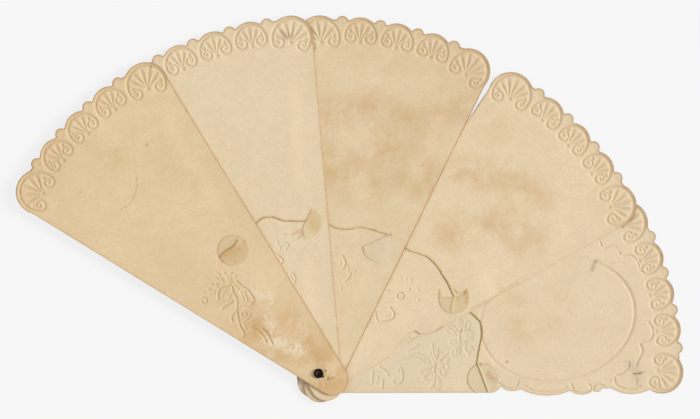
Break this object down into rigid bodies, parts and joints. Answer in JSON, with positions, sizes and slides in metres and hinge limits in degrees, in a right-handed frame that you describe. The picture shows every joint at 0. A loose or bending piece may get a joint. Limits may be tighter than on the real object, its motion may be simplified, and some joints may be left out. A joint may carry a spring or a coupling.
{
  "type": "die-cut paper hand fan",
  "caption": "Folding hand fan of tapered card leaves with a scalloped shell border, turning on a small eyelet and held open by a thread.",
  "frame": {"origin": "on the axis of the eyelet, in the plane of the table", "axes": "+Z up, along the eyelet's axis and out of the back of the leaves; +X to the right and +Y up in the picture, so the open leaves fan out from just above +X round to the upper left"},
  "size_m": [0.2222, 0.1289, 0.0039],
  "materials": {
    "card_outer": "matte, toned",
    "card": "matte",
    "tab": "matte",
    "thread": "flat silk thread",
    "eyelet": "black lacquer"
  },
  "bodies": {
    "leaf_5": {"leaf_5": "card", "eyelet": "eyelet", "tab_5": "tab"},
    "leaf_4": {"leaf_4": "card", "tab_4": "tab", "thread_4_5": "thread"},
    "leaf_3": {"leaf_3": "card", "tab_3": "tab", "thread_3_4": "thread"},
    "leaf_2": {"leaf_2": "card", "tab_2": "tab", "thread_2_3": "thread"},
    "leaf_1": {"leaf_1": "card_outer", "tab_1": "tab", "thread_1_2": "thread"}
  },
  "joints": [
    {"name": "leaf_4_turn", "type": "hinge", "parent": "leaf_5", "child": "leaf_4", "pos_m": [0, 0, 0], "axis": [0, 0, 1], "range_deg": [-29.3, 0], "deforming": ["thread_4_5"]},
    {"name": "leaf_3_turn", "type": "hinge", "parent": "leaf_4", "child": "leaf_3", "pos_m": [0, 0, 0], "axis": [0, 0, 1], "range_deg": [-34.6, 0], "deforming": ["thread_3_4"]},
    {"name": "leaf_2_turn", "type": "hinge", "parent": "leaf_3", "child": "leaf_2", "pos_m": [0, 0, 0], "axis": [0, 0, 1], "range_deg": [-30.9, 0], "deforming": ["thread_2_3"]},
    {"name": "leaf_1_turn", "type": "hinge", "parent": "leaf_2", "child": "leaf_1", "pos_m": [0, 0, 0], "axis": [0, 0, 1], "range_deg": [-26.5, 0], "deforming": ["thread_1_2"]}
  ]
}
